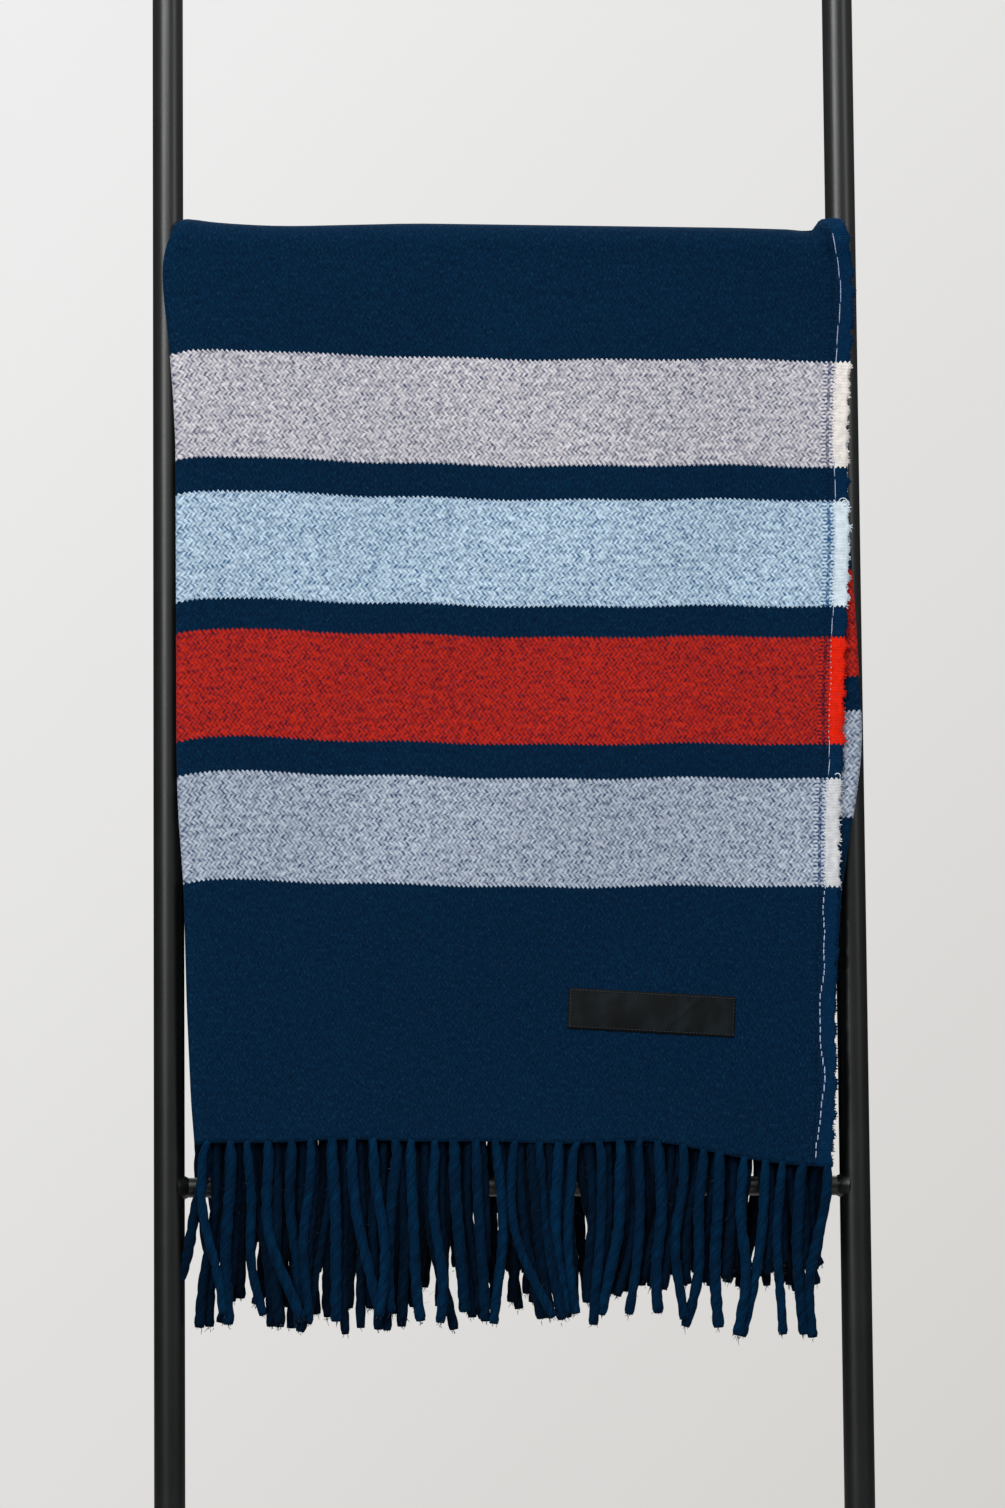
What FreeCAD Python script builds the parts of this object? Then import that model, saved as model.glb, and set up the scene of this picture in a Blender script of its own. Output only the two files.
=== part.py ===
import FreeCAD, Part
import math
import os

# A fringed throw, folded lengthways in three and hung over the top rung of a leaning tube ladder.
# Millimetres. +X to the right, +Y towards the wall, +Z up.
# The origin is on the floor, midway between the two feet.
# "n" is the distance in front of the plane of the stiles, "s" the distance up along them.

os.makedirs("parts", exist_ok=True)

# Ladder
LEAN_DEG = 8.0
LADDER_LENGTH = 1524.0
STILE_SPACING = 492.0
STILE_R = 11.0
STILE_WALL = 1.5
RUNG_R = 7.0
RUNG_WALL = 1.2
RUNG_COUNT = 4
FIRST_RUNG = 262.0
RUNG_SPACING = 340.0
RUNG_NAMES = ["bottom_rung", "lower_middle_rung", "upper_middle_rung", "top_rung"]
WELD_LEG = 2.6
WELD_SLOPE = 0.5

# Rubber feet and caps
FOOT_R = 13.5
FOOT_BASE_R = 15.5
FOOT_HEIGHT = 34.0
FOOT_CHAMFER = 1.5
SOLE_THICKNESS = 8.0
CAP_R = 13.0
CAP_HEIGHT = 28.0
CAP_CROWN = 5.0
CAP_RIM_CHAMFER = 1.0
CAP_SHOULDER_CHAMFER = 1.5
CAP_SHOULDER_DROP = 1.6
CAP_TOP_R = 7.8
CAP_TOP_DROP = 0.4
WALL_FLAT_DEPTH = 1.5

# Throw
CLEARANCE = 0.3
THROW_THICKNESS = 11.0
SADDLE_WIDTH = 466.0
SHOULDER_HALF = 252.0
LEFT_WAIST_HALF = 246.0
RIGHT_WAIST_HALF = 251.0
HEM_HALF = 226.0
FRONT_DROP = 656.0
HEM_SLOPE = 17.0
BACK_DROP = 575.0
SHOULDER_RISE = 13.0
SHOULDER_R = 22.0
JOIN_DROP = 40.0
JOIN_OVERLAP = 2.0

# Fringe and label
FRINGE_LENGTH = 128.0
FRINGE_THICKNESS = 14.0
FRINGE_KNEE = 12.0
LABEL_WIDTH = 122.0
LABEL_HEIGHT = 30.0
LABEL_THICKNESS = 0.8
LABEL_X = 98.0
LABEL_ABOVE_HEM = 99.0
LABEL_TILT_DEG = 3.2

LEAN = math.radians(LEAN_DEG)
HALF_SPACING = STILE_SPACING / 2
TOP_RUNG = FIRST_RUNG + RUNG_SPACING * (RUNG_COUNT - 1)
BACK_OF_THROW = STILE_R + CLEARANCE
FRONT_OF_THROW = BACK_OF_THROW + THROW_THICKNESS
HEM = TOP_RUNG - FRONT_DROP
CUTTER_DEPTH = 200.0
ORIGIN = FreeCAD.Vector(0, 0, 0)
X_AXIS = FreeCAD.Vector(1, 0, 0)
Y_AXIS = FreeCAD.Vector(0, 1, 0)


def leaned(shape):
    """A shape drawn with the ladder upright, turned back to its lean."""
    turned_shape = shape.copy()
    turned_shape.rotate(ORIGIN, X_AXIS, -LEAN_DEG)
    return turned_shape


def on_ladder(n, s):
    """(y, z) of a point n in front of the stiles' plane and s up along it."""
    y = -n * math.cos(LEAN) + s * math.sin(LEAN)
    z = n * math.sin(LEAN) + s * math.cos(LEAN)
    return y, z


def upright_tube(radius, wall, low, high):
    outer = Part.makeCylinder(radius, high - low, FreeCAD.Vector(0, 0, low))
    inner = Part.makeCylinder(radius - wall, high - low, FreeCAD.Vector(0, 0, low))
    return outer.cut(inner)


def turned(outline):
    """The (radius, height) outline turned about the Z axis."""
    points = [FreeCAD.Vector(r, 0, z) for r, z in outline]
    face = Part.Face(Part.makePolygon(points + points[:1]))
    return face.revolve(ORIGIN, FreeCAD.Vector(0, 0, 1), 360)


def at_stile(shape, side):
    moved = shape.copy()
    moved.translate(FreeCAD.Vector(side * HALF_SPACING, 0, 0))
    return moved


def extruded_profile(edges, width):
    """A closed outline in the YZ plane, extruded to a width centred on x = 0."""
    face = Part.Face(Part.Wire(edges))
    solid = face.extrude(FreeCAD.Vector(width, 0, 0))
    solid.translate(FreeCAD.Vector(-width / 2, 0, 0))
    return solid


def in_plane(point):
    return FreeCAD.Vector(0, point[0], point[1])


def line(a, b):
    return Part.makeLine(in_plane(a), in_plane(b))


def arc(a, through, b):
    return Part.Arc(in_plane(a), in_plane(through), in_plane(b)).toShape()


def stile(side):
    top = LADDER_LENGTH - CAP_CROWN
    return leaned(at_stile(upright_tube(STILE_R, STILE_WALL, SOLE_THICKNESS, top), side))


def stile_bars():
    """The stiles as solid bars, to cope what meets them."""
    bar = Part.makeCylinder(STILE_R, LADDER_LENGTH)
    return [at_stile(bar, -1), at_stile(bar, 1)]


def along_x(radius, low, high, height):
    return Part.makeCylinder(radius, high - low, FreeCAD.Vector(low, 0, height), X_AXIS)


def rung(height):
    """A tube whose ends are coped to the stiles' round sides."""
    outer = along_x(RUNG_R, -HALF_SPACING, HALF_SPACING, height)
    inner = along_x(RUNG_R - RUNG_WALL, -HALF_SPACING, HALF_SPACING, height)
    tube = outer.cut(inner)
    for bar in stile_bars():
        tube = tube.cut(bar)
    return leaned(tube)


def weld_bead(side, height):
    """The small fillet of weld that runs round a rung where it meets a stile."""
    inner_end = HALF_SPACING - STILE_R - WELD_LEG
    length = STILE_R + WELD_LEG
    start = FreeCAD.Vector(side * inner_end, 0, height)
    direction = FreeCAD.Vector(side, 0, 0)
    cone = Part.makeCone(RUNG_R, RUNG_R + length * WELD_SLOPE, length, start, direction)
    bead = cone.cut(along_x(RUNG_R, -HALF_SPACING, HALF_SPACING, height))
    bar = at_stile(Part.makeCylinder(STILE_R, LADDER_LENGTH), side)
    inside = Part.makeBox(2 * STILE_R, 4 * STILE_R, 4 * STILE_R)
    inside.translate(FreeCAD.Vector(-STILE_R, -2 * STILE_R, height - 2 * STILE_R))
    inside.translate(FreeCAD.Vector(side * (HALF_SPACING + STILE_R / 2), 0, 0))
    return leaned(bead.cut(bar).cut(inside))


def weld_beads():
    heights = [FIRST_RUNG + RUNG_SPACING * k for k in range(RUNG_COUNT)]
    return Part.makeCompound([weld_bead(side, h) for h in heights for side in (-1, 1)])


def foot(side):
    """A rubber sleeve on the stile's lower end, with its sole cut level with the floor."""
    outline = [
        (0, -FOOT_R),
        (FOOT_BASE_R, -FOOT_R),
        (FOOT_BASE_R, SOLE_THICKNESS / 2),
        (FOOT_R, SOLE_THICKNESS * 2),
        (FOOT_R, FOOT_HEIGHT - FOOT_CHAMFER),
        (FOOT_R - FOOT_CHAMFER, FOOT_HEIGHT),
        (STILE_R, FOOT_HEIGHT),
        (STILE_R, SOLE_THICKNESS),
        (0, SOLE_THICKNESS),
    ]
    rubber = leaned(at_stile(turned(outline), side))
    corner = FreeCAD.Vector(-LADDER_LENGTH / 2, -CUTTER_DEPTH / 2, -CUTTER_DEPTH)
    below_floor = Part.makeBox(LADDER_LENGTH, CUTTER_DEPTH, CUTTER_DEPTH, corner)
    return rubber.cut(below_floor)


def wall_plane():
    """How far back the wall stands: it takes a shallow flat off the caps' rear shoulders."""
    rear = CAP_R * math.cos(LEAN) + (LADDER_LENGTH - CAP_CROWN) * math.sin(LEAN)
    return rear - WALL_FLAT_DEPTH


def end_cap(side):
    """A rubber cap on the stile's upper end, crowned on top and flat where it meets the wall."""
    shoulder = LADDER_LENGTH - CAP_CROWN
    outline = [
        (0, shoulder),
        (STILE_R, shoulder),
        (STILE_R, LADDER_LENGTH - CAP_HEIGHT),
        (CAP_R - CAP_RIM_CHAMFER, LADDER_LENGTH - CAP_HEIGHT),
        (CAP_R, LADDER_LENGTH - CAP_HEIGHT + CAP_RIM_CHAMFER),
        (CAP_R, shoulder),
        (CAP_R - CAP_SHOULDER_CHAMFER, LADDER_LENGTH - CAP_SHOULDER_DROP),
        (CAP_TOP_R, LADDER_LENGTH - CAP_TOP_DROP),
        (0, LADDER_LENGTH),
    ]
    rubber = leaned(at_stile(turned(outline), side))
    corner = FreeCAD.Vector(-LADDER_LENGTH / 2, wall_plane(), LADDER_LENGTH - CUTTER_DEPTH)
    behind_wall = Part.makeBox(LADDER_LENGTH, CUTTER_DEPTH, 2 * CUTTER_DEPTH, corner)
    return rubber.cut(behind_wall)


def front_drop():
    """The folded front of the throw, which lies on the stiles and narrows towards its hem."""
    top = TOP_RUNG + SHOULDER_RISE
    corner = SHOULDER_R * (1 - math.sqrt(0.5))
    outline = [
        FreeCAD.Vector(-HEM_HALF, 0, HEM + HEM_SLOPE / 2),
        FreeCAD.Vector(-LEFT_WAIST_HALF, 0, HEM + FRONT_DROP / 2),
        FreeCAD.Vector(-SHOULDER_HALF, 0, top - SHOULDER_R),
        FreeCAD.Vector(-SHOULDER_HALF + corner, 0, top - corner),
        FreeCAD.Vector(-SHOULDER_HALF + SHOULDER_R, 0, top),
        FreeCAD.Vector(SHOULDER_HALF - SHOULDER_R, 0, top),
        FreeCAD.Vector(SHOULDER_HALF - corner, 0, top - corner),
        FreeCAD.Vector(SHOULDER_HALF, 0, top - SHOULDER_R),
        FreeCAD.Vector(RIGHT_WAIST_HALF, 0, HEM + FRONT_DROP / 2),
        FreeCAD.Vector(HEM_HALF, 0, HEM - HEM_SLOPE / 2),
    ]
    face = Part.Face(Part.makePolygon(outline + outline[:1]))
    plate = face.extrude(FreeCAD.Vector(0, -THROW_THICKNESS, 0))
    plate.translate(FreeCAD.Vector(0, -BACK_OF_THROW, 0))
    return leaned(plate)


def saddle_and_back_drop():
    """The throw over the rung, and its back hanging straight down between the stiles."""
    y, z = on_ladder(0, TOP_RUNG)
    inner = RUNG_R + CLEARANCE
    outer = inner + THROW_THICKNESS
    hem = z - BACK_DROP
    inner_foot = on_ladder(BACK_OF_THROW + JOIN_OVERLAP, TOP_RUNG - JOIN_DROP)
    outer_foot = on_ladder(FRONT_OF_THROW, TOP_RUNG - JOIN_DROP)
    outer_bend = on_ladder(FRONT_OF_THROW, TOP_RUNG)
    edges = [
        line((y + inner, hem), (y + inner, z)),
        arc((y + inner, z), (y, z + inner), (y - inner, z)),
        line((y - inner, z), inner_foot),
        line(inner_foot, outer_foot),
        line(outer_foot, outer_bend),
        arc(outer_bend, (y - (FRONT_OF_THROW - outer) / 2, z + outer), (y + outer, z)),
        line((y + outer, z), (y + outer, hem)),
        line((y + outer, hem), (y + inner, hem)),
    ]
    return extruded_profile(edges, SADDLE_WIDTH)


def throw():
    return front_drop().fuse(saddle_and_back_drop()).removeSplitter()


def front_fringe():
    """The front tassels as one slab: they follow the throw to the rung, then hang straight down."""
    hem = HEM + HEM_SLOPE / 2
    knee = HEM - HEM_SLOPE / 2 - FRINGE_KNEE
    knee_back = on_ladder(BACK_OF_THROW, knee)
    low = knee_back[1] - (FRINGE_LENGTH - FRINGE_KNEE)
    front_y = knee_back[0] - FRINGE_THICKNESS
    hem_back = on_ladder(BACK_OF_THROW, hem)
    hem_front = on_ladder(FRONT_OF_THROW, hem)
    edges = [
        line(hem_back, knee_back),
        line(knee_back, (knee_back[0], low)),
        line((knee_back[0], low), (front_y, low)),
        line((front_y, low), (front_y, knee_back[1])),
        line((front_y, knee_back[1]), hem_front),
        line(hem_front, hem_back),
    ]
    return extruded_profile(edges, 2 * HEM_HALF).cut(front_drop())


def back_fringe():
    y, z = on_ladder(0, TOP_RUNG)
    hem = z - BACK_DROP
    near = y + RUNG_R + CLEARANCE
    slab = Part.makeBox(SADDLE_WIDTH, FRINGE_THICKNESS, FRINGE_LENGTH)
    slab.translate(FreeCAD.Vector(-SADDLE_WIDTH / 2, near, hem - FRINGE_LENGTH))
    return slab


def label():
    """The woven label sewn on the lower right of the front, a little askew."""
    height = HEM + LABEL_ABOVE_HEM
    tab = Part.makeBox(LABEL_WIDTH, LABEL_THICKNESS, LABEL_HEIGHT)
    low = FreeCAD.Vector(
        LABEL_X - LABEL_WIDTH / 2,
        -FRONT_OF_THROW - LABEL_THICKNESS,
        height - LABEL_HEIGHT / 2,
    )
    tab.translate(low)
    tab.rotate(FreeCAD.Vector(LABEL_X, 0, height), Y_AXIS, LABEL_TILT_DEG)
    return leaned(tab)


def save(name, shape):
    if not shape.isValid():
        raise ValueError(name + " is not a valid shape")
    shape.exportStep("parts/" + name + ".step")
    box = shape.BoundBox
    low = (round(box.XMin, 1), round(box.YMin, 1), round(box.ZMin, 1))
    high = (round(box.XMax, 1), round(box.YMax, 1), round(box.ZMax, 1))
    print(name, "solids", len(shape.Solids), "volume", round(shape.Volume), low, high)


def main():
    for name, side in (("left", -1), ("right", 1)):
        save(name + "_stile", stile(side))
        save(name + "_foot", foot(side))
        save(name + "_end_cap", end_cap(side))
    for k, name in enumerate(RUNG_NAMES):
        save(name, rung(FIRST_RUNG + RUNG_SPACING * k))
    save("weld_beads", weld_beads())
    save("throw", throw())
    save("front_fringe", front_fringe())
    save("back_fringe", back_fringe())
    save("label", label())


main()
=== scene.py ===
import math

import bpy
import numpy as np
from mathutils import Matrix, Vector


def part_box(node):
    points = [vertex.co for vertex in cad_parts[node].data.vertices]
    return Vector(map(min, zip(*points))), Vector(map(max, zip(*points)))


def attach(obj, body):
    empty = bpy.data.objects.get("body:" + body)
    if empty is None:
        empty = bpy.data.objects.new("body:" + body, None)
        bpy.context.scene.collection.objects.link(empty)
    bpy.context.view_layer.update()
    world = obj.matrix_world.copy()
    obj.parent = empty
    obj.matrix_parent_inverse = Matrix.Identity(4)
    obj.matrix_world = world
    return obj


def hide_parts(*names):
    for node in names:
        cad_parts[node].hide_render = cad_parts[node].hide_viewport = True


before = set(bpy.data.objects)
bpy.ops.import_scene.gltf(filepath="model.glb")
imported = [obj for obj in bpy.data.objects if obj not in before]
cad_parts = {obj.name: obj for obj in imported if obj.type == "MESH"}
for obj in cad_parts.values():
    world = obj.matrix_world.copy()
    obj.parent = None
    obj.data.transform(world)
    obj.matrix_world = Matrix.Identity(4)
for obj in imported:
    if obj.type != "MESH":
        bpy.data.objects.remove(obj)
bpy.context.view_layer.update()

# -------------------- places, from the frame


def middle(node):
    low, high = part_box(node)
    return (np.array(low) + np.array(high)) / 2


def half_size(node, axis):
    low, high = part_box(node)
    return (high[axis] - low[axis]) / 2


TOP_RUNG = middle("top_rung")
LOW_RUNG = middle("lower_middle_rung")
UP = TOP_RUNG - middle("bottom_rung")
UP /= np.linalg.norm(UP)
OUT = np.array([0.0, -UP[2], UP[1]])
LEAN = math.atan2(UP[1], UP[2])
RUNG_R = half_size("top_rung", 2)
STILE_X = abs(middle("left_stile")[0])
STILE_R = half_size("left_stile", 0)

# -------------------- the throw, metres

CLOTH_WIDTH = 1.45
CLOTH_LENGTH = 1.28
THICKNESS = 0.0029
# How far each layer's middle stands off what the throw lies on, the outer layer first
LAYERS = [0.0089, 0.0053, 0.0017]
# Clearances from the rung, from the stiles' fronts, and from their sides in front and behind
ON_RUNG = 0.0004
ON_STILES = 0.0006
BESIDE_STILE = 0.0012
BACK_BESIDE_STILE = 0.0030
NO_LIMIT = 0.30
# The two lengthways folds
FOLD_R = 0.0030
FOLD_BULGE = 0.0016
RIGHT_FOLD_BULGE = 0.0009
# Along the cloth: over the rung, down the front, and how much higher the hidden hems are
ARC_LENGTH = 0.052
FRONT_LENGTH = 0.6486
LAYER_SHIFT = 0.045
SELVEDGE = 0.0106
STITCH_FROM_EDGE = 0.0100
TASSEL_LENGTH = 0.128
TASSEL_R = 0.0040
# For each layer, from the front: its tassels, and how light their yarn is painted, the hidden
# layers darker as painted shade
TASSEL_COUNTS = [31, 44, 44]
TASSEL_PAINTED_SHADE = [1.0, 0.32, 0.0]
# Settling them: a tassel's links, the number of turns, how many points each is kept apart from, and
# how far one turn lets a point fall, swing or be pushed
LINKS = 12
TURNS = 150
NEIGHBOURS = 170
FALL = 0.0009
SWING = 0.00018
PUSH = 0.0016
# Bands of colour along the cloth, from each hem: where each one ends, and its yarn
BANDS = [
    (0.186, "navy"),
    (0.264, "slate"),
    (0.288, "navy"),
    (0.366, "red"),
    (0.389, "navy"),
    (0.4675, "sky"),
    (0.4905, "navy"),
    (0.568, "pearl"),
    (0.700, "navy"),
]
# Outlines of the hanging front: (drop below the rung, x)
LEFT_FOLD = [
    (-0.016, -0.2385), (0.002, -0.2465), (0.015, -0.2500), (0.037, -0.2490), (0.060, -0.2460),
    (0.100, -0.2425), (0.141, -0.2404), (0.363, -0.2400), (0.406, -0.2390), (0.463, -0.2350),
    (0.548, -0.2330), (0.619, -0.2300), (0.650, -0.2275), (0.680, -0.2260),
]
RIGHT_EDGE = [
    (-0.016, 0.2440), (0.000, 0.2490), (0.016, 0.2513), (0.038, 0.2514), (0.068, 0.2490),
    (0.086, 0.2473), (0.134, 0.2446), (0.163, 0.2453), (0.215, 0.2453), (0.259, 0.2429),
    (0.331, 0.2388), (0.364, 0.2390), (0.390, 0.2360), (0.426, 0.2345), (0.462, 0.2338),
    (0.548, 0.2298), (0.591, 0.2298), (0.620, 0.2276), (0.656, 0.2250), (0.690, 0.2210),
]
RIGHT_FOLD = [
    (-0.016, 0.2400), (0.015, 0.2470), (0.060, 0.2460), (0.200, 0.2445), (0.243, 0.2476),
    (0.300, 0.2504), (0.348, 0.2526), (0.374, 0.2514), (0.402, 0.2473), (0.423, 0.2434),
    (0.454, 0.2378), (0.478, 0.2345), (0.522, 0.2317), (0.560, 0.2290), (0.680, 0.2240),
]
INNER_EDGE = [(-0.016, -0.2180), (0.300, -0.2200), (0.680, -0.2120)]


def smooth(x, low, high):
    t = np.clip((np.asarray(x, float) - low) / (high - low), 0, 1)
    return t * t * (3 - 2 * t)


def curve(points):
    """A smooth function through an outline's points, flat beyond its ends."""
    at = np.array([p[0] for p in points])
    value = np.array([p[1] for p in points])
    fine = np.linspace(at[0] - 0.03, at[-1] + 0.03, 600)
    raw = np.interp(fine, at, value)
    reach = np.arange(-24, 25)
    kernel = np.exp(-((reach / 9.0) ** 2))
    padded = np.pad(raw, 24, mode="edge")
    soft = np.convolve(padded, kernel / kernel.sum(), mode="valid")
    return lambda x: np.interp(x, fine, soft)


left_fold_x = curve(LEFT_FOLD)
right_edge_x = curve(RIGHT_EDGE)
right_fold_x = curve(RIGHT_FOLD)
inner_edge_x = curve(INNER_EDGE)


def stand_off(x):
    """How far the inner face stands in front of the stiles' plane: it lies on the stiles, and
    further in between them."""
    rungs = RUNG_R + ON_RUNG
    stiles = STILE_R + ON_STILES
    return rungs + (stiles - rungs) * smooth(np.abs(x), 0.165, 0.234)


def ripple(x, drop):
    """Gentle unevenness of the hanging cloth."""
    a = 0.0009 * np.sin(19.0 * x + 6.0 * drop + 0.4)
    b = 0.0007 * np.sin(-9.0 * x + 14.0 * drop + 2.1)
    c = 0.0005 * np.sin(41.0 * x - 8.0 * drop + 1.3)
    d = 0.0004 * np.sin(23.0 * x + 37.0 * drop + 5.2)
    return a + b + c + d


def sag(x, drop):
    """How much lower a thread lies at x than at the left edge, in the front layer."""
    body = smooth(drop, 0.0, 0.07)
    low = smooth(drop, 0.46, 0.60)
    across = 0.0048 * smooth(x, -0.215, -0.10) * (1 - low)
    edge = 0.0050 * np.exp(-np.maximum(x + 0.242, 0) / 0.011)
    corner = 0.0175 * smooth(x, 0.085, 0.205) * smooth(drop, 0.50, 0.645)
    side = 0.0012 * smooth(x, 0.0, 0.23) * smooth(drop, 0.3, 0.5)
    wave = 0.0010 * np.sin(24.0 * x + 1.1) + 0.0006 * np.sin(61.0 * x + 9.0 * drop)
    return body * (across + edge + corner + side + wave)


def place(x, v, t, start, ease=1.0):
    """The point x across and v along the cloth, t out from the inner face. start is the v at which
    the front reaches the rung's level."""
    drop = start - v
    drop = np.where(drop > 0, drop + ease * sag(x, drop), drop)
    turn = np.clip(-drop / ARC_LENGTH, 0, 1)
    angle = LEAN + (math.pi - LEAN) * turn
    spread = (stand_off(x) - RUNG_R - ON_RUNG) * (1 - smooth(turn, 0.0, 0.55))
    wave = ripple(x, drop) * smooth(drop, 0.01, 0.09)
    full = 0.10 * smooth(x, -0.11, -0.06) * (1 - smooth(x, 0.16, 0.21))
    pressed = 0.26 * np.exp(-(((x + 0.165) / 0.05) ** 2))
    t = t * (1 + (full - pressed) * np.sin(math.pi * turn))
    radius = RUNG_R + ON_RUNG + t + spread + wave
    y = TOP_RUNG[1] - radius * np.cos(angle)
    z = TOP_RUNG[2] + radius * np.sin(angle)
    fall = np.clip(drop, 0, None)
    y = y - UP[1] * fall
    z = z - UP[2] * fall
    back = np.clip(-drop - ARC_LENGTH, 0, None)
    y = y + 0.0012 * np.sin(17.0 * x + 11.0 * back) * smooth(back, 0.02, 0.2)
    z = z - back
    return np.stack([x + 0 * y, y, z], -1)


def edge_limit(v, t, start):
    """(drop, furthest x) for a row of one layer: the stiles hold the cloth in beside the rung."""
    drop = start - v
    turn = np.clip(-drop / ARC_LENGTH, 0, 1)
    angle = LEAN + (math.pi - LEAN) * turn
    spread = (STILE_R - RUNG_R) * (1 - smooth(turn, 0.0, 0.55))
    radius = RUNG_R + t + spread
    level = np.where(drop > 0, drop, -radius * np.sin(angle - LEAN))
    ahead = radius * np.cos(angle - LEAN) - THICKNESS / 2
    inside = np.clip(ahead, 0, STILE_R)
    gap = STILE_X - np.sqrt(np.clip(STILE_R**2 - inside**2, 0, None)) - BESIDE_STILE
    limit = np.where(ahead >= STILE_R, NO_LIMIT, gap)
    limit = np.where(-drop > ARC_LENGTH, STILE_X - STILE_R - BACK_BESIDE_STILE, limit)
    return level, limit


# The sheet's columns are panels and folds in turn. It starts at the right selvedge in front, folds
# at the left, folds again at the right and ends behind.
PANEL_COLUMNS = 40
FRONT_COLUMNS = 34
STRIP_COLUMNS = 14
FOLD_COLUMNS = 9
FOLD_RUN = 0.0085
PANEL_RUN = (CLOTH_WIDTH - 2 * FOLD_RUN) / 3
EDGE_STRIP = 0.031
FRONT_ROW = 0.0032
BEND_ROW = 0.0027
BEND_FROM = 0.585
BEND_TO = 0.715
BACK_ROWS = 58


def eased(count):
    """Shares from 0 to 1, closer together near both ends."""
    t = np.linspace(0, 1, count)
    return t - 0.075 * np.sin(2 * math.pi * t)


def columns():
    """Each column's (kind, share, distance across the flat cloth)."""
    found = []
    across = 0.0
    for kind in range(5):
        is_fold = kind % 2 == 1
        run = FOLD_RUN if is_fold else PANEL_RUN
        shares = np.linspace(0, 1, FOLD_COLUMNS) if is_fold else eased(PANEL_COLUMNS)
        if kind == 0:
            strip = EDGE_STRIP / PANEL_RUN
            dense = np.linspace(0, strip, STRIP_COLUMNS)[:-1]
            shares = np.concatenate([dense, strip + (1 - strip) * eased(FRONT_COLUMNS)])
        if kind > 0:
            shares = shares[1:]
        found += [(kind, s, across + run * s) for s in shares]
        across += run
    return found


def rows():
    """The v of each row of the sheet, closer together where it bends over the rung."""
    front = np.arange(0, BEND_FROM, FRONT_ROW)
    bend = np.arange(BEND_FROM, BEND_TO, BEND_ROW)
    back = np.linspace(BEND_TO, CLOTH_LENGTH, BACK_ROWS)
    return np.concatenate([front, bend, back])


def front_edges(v, t, start):
    """The x of the left fold, right selvedge, right fold and hidden inner edge in a row."""
    level, limit = edge_limit(v, t, start)
    behind = np.clip(v - start - ARC_LENGTH, 0, None)
    left = -np.minimum(-left_fold_x(level), limit) + 0.015 * smooth(behind, 0.02, 0.30)
    past = v - start
    standing = smooth(past, -0.020, 0.0) * (1 - smooth(past, 0.011, 0.021)) if t == LAYERS[0] else 0
    right = np.minimum(right_edge_x(level), limit + 0.016 * standing)
    fold = np.minimum(right_fold_x(level), limit)
    inner = inner_edge_x(level)
    return left, right, fold, inner


def selvedge_lift(distance, v, right):
    """The front's free edge curls out a little, more in some places than others, and stands up
    where it crosses the top."""
    curl = 0.0011 + 0.0010 * np.sin(38.0 * v + 0.6) + 0.0007 * np.sin(97.0 * v + 2.0)
    over_top = np.exp(-(((v - FRONT_LENGTH - 0.014) / 0.013) ** 2))
    width = np.clip(right - 0.2285, 0.003, 0.021)
    ridge = 0.0078 * (1 - smooth(distance - width, -0.001, 0.002))
    ridge = ridge * (1 + 0.16 * np.sin(distance * 420))
    hollow = 0.0022 * np.exp(-(((distance - width - 0.009) / 0.010) ** 2))
    return np.clip(curl, 0, None) * np.exp(-distance / 0.011) + over_top * (ridge - hollow)


def ragged(v):
    """The uneven line of the front's cut edge."""
    a = 0.0008 * np.sin(2 * math.pi * v / 0.0171 + 0.7)
    b = 0.0006 * np.sin(2 * math.pi * v / 0.0113 + 2.6 * np.sin(v * 23))
    c = 0.0004 * np.sin(2 * math.pi * v / 0.0071 + 1.9)
    return a + b + c


def column_points(kind, share, v):
    """A column's points. share runs along its panel or round its fold."""
    outer, mid, inner_t = LAYERS
    ease = 0.0
    if kind == 0:
        start = FRONT_LENGTH + 0 * v
        left, right, _, _ = front_edges(v, outer, start)
        x = right + (left + FOLD_R - right) * share
        x = x + ragged(v) * np.exp(-(share * PANEL_RUN) / 0.004)
        near_fold = FOLD_BULGE * np.exp(-(((x - left - FOLD_R) / 0.013) ** 2))
        t = outer + near_fold + selvedge_lift(right - x, v, right)
        ease = 1.0
    elif kind == 1:
        start = FRONT_LENGTH + 0 * v
        left, _, _, _ = front_edges(v, (outer + mid) / 2, start)
        height = (outer - mid) / 2 + FOLD_BULGE
        x = left + FOLD_R - FOLD_R * math.sin(math.pi * share)
        t = (outer + mid) / 2 + height * math.cos(math.pi * share)
        ease = 1.0
    elif kind == 2:
        start = FRONT_LENGTH - LAYER_SHIFT * share + 0 * v
        left, _, fold, _ = front_edges(v, mid, start)
        x = left + FOLD_R + (fold - left - 2 * FOLD_R) * share
        near_left = FOLD_BULGE * np.exp(-(((x - left - FOLD_R) / 0.010) ** 2))
        near_right = RIGHT_FOLD_BULGE * np.exp(-(((fold - FOLD_R - x) / 0.010) ** 2))
        t = mid - near_left + near_right
        ease = 1.0 - share
    elif kind == 3:
        start = FRONT_LENGTH - LAYER_SHIFT + 0 * v
        _, _, fold, _ = front_edges(v, (mid + inner_t) / 2, start)
        height = (mid - inner_t) / 2 + RIGHT_FOLD_BULGE
        x = fold - FOLD_R + FOLD_R * math.sin(math.pi * share)
        t = (mid + inner_t) / 2 + height * math.cos(math.pi * share)
        t = np.maximum(t, THICKNESS / 2 + 0.0001)
    else:
        start = FRONT_LENGTH - LAYER_SHIFT * (1 - 0.6 * share) + 0 * v
        _, _, fold, inner = front_edges(v, inner_t, start)
        x = fold - FOLD_R + (inner - fold + FOLD_R) * share
        t = inner_t + 0 * x
    return place(x, v, t, start, ease)


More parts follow.
